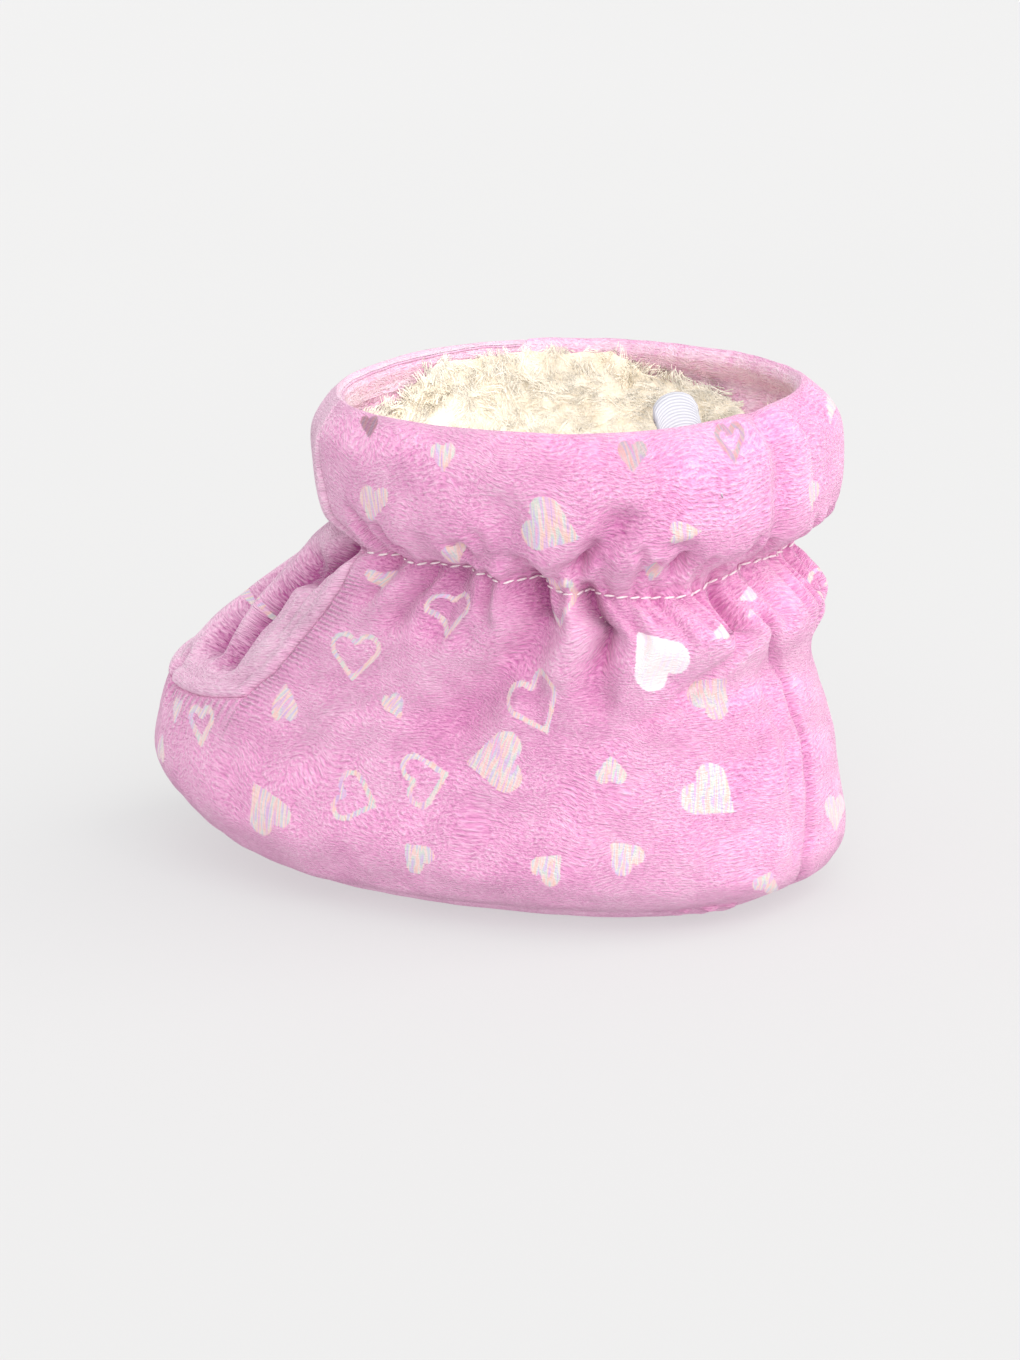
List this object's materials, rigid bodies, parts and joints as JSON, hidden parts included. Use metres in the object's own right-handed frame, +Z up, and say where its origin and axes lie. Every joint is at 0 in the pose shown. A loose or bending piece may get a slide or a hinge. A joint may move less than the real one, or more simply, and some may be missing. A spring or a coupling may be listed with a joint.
{
  "type": "baby bootie slipper",
  "caption": "Soft ankle-high baby bootie slipper with a gathered elastic ankle, puffed cuff, set-in apron over the toe and fleece lining, on a flat soft sole.",
  "frame": {"origin": "on the floor under the middle of the shoe's overall box", "axes": "+X from the heel to the toe, +Y to the side on the left of a wearer, +Z up"},
  "size_m": [0.1284, 0.0706, 0.0839],
  "materials": {
    "velour": "plush velour with a print of pearly foil hearts",
    "apron_velour": "plush velour",
    "sole_velour": "plush velour over a thin pad",
    "fleece": "cream curled fleece",
    "satin": "white satin ribbon, bare"
  },
  "bodies": {
    "root": {"sole": "sole_velour", "insole": "fleece", "upper": "velour", "apron": "apron_velour", "ribbon_loop": "satin"}
  },
  "joints": []
}
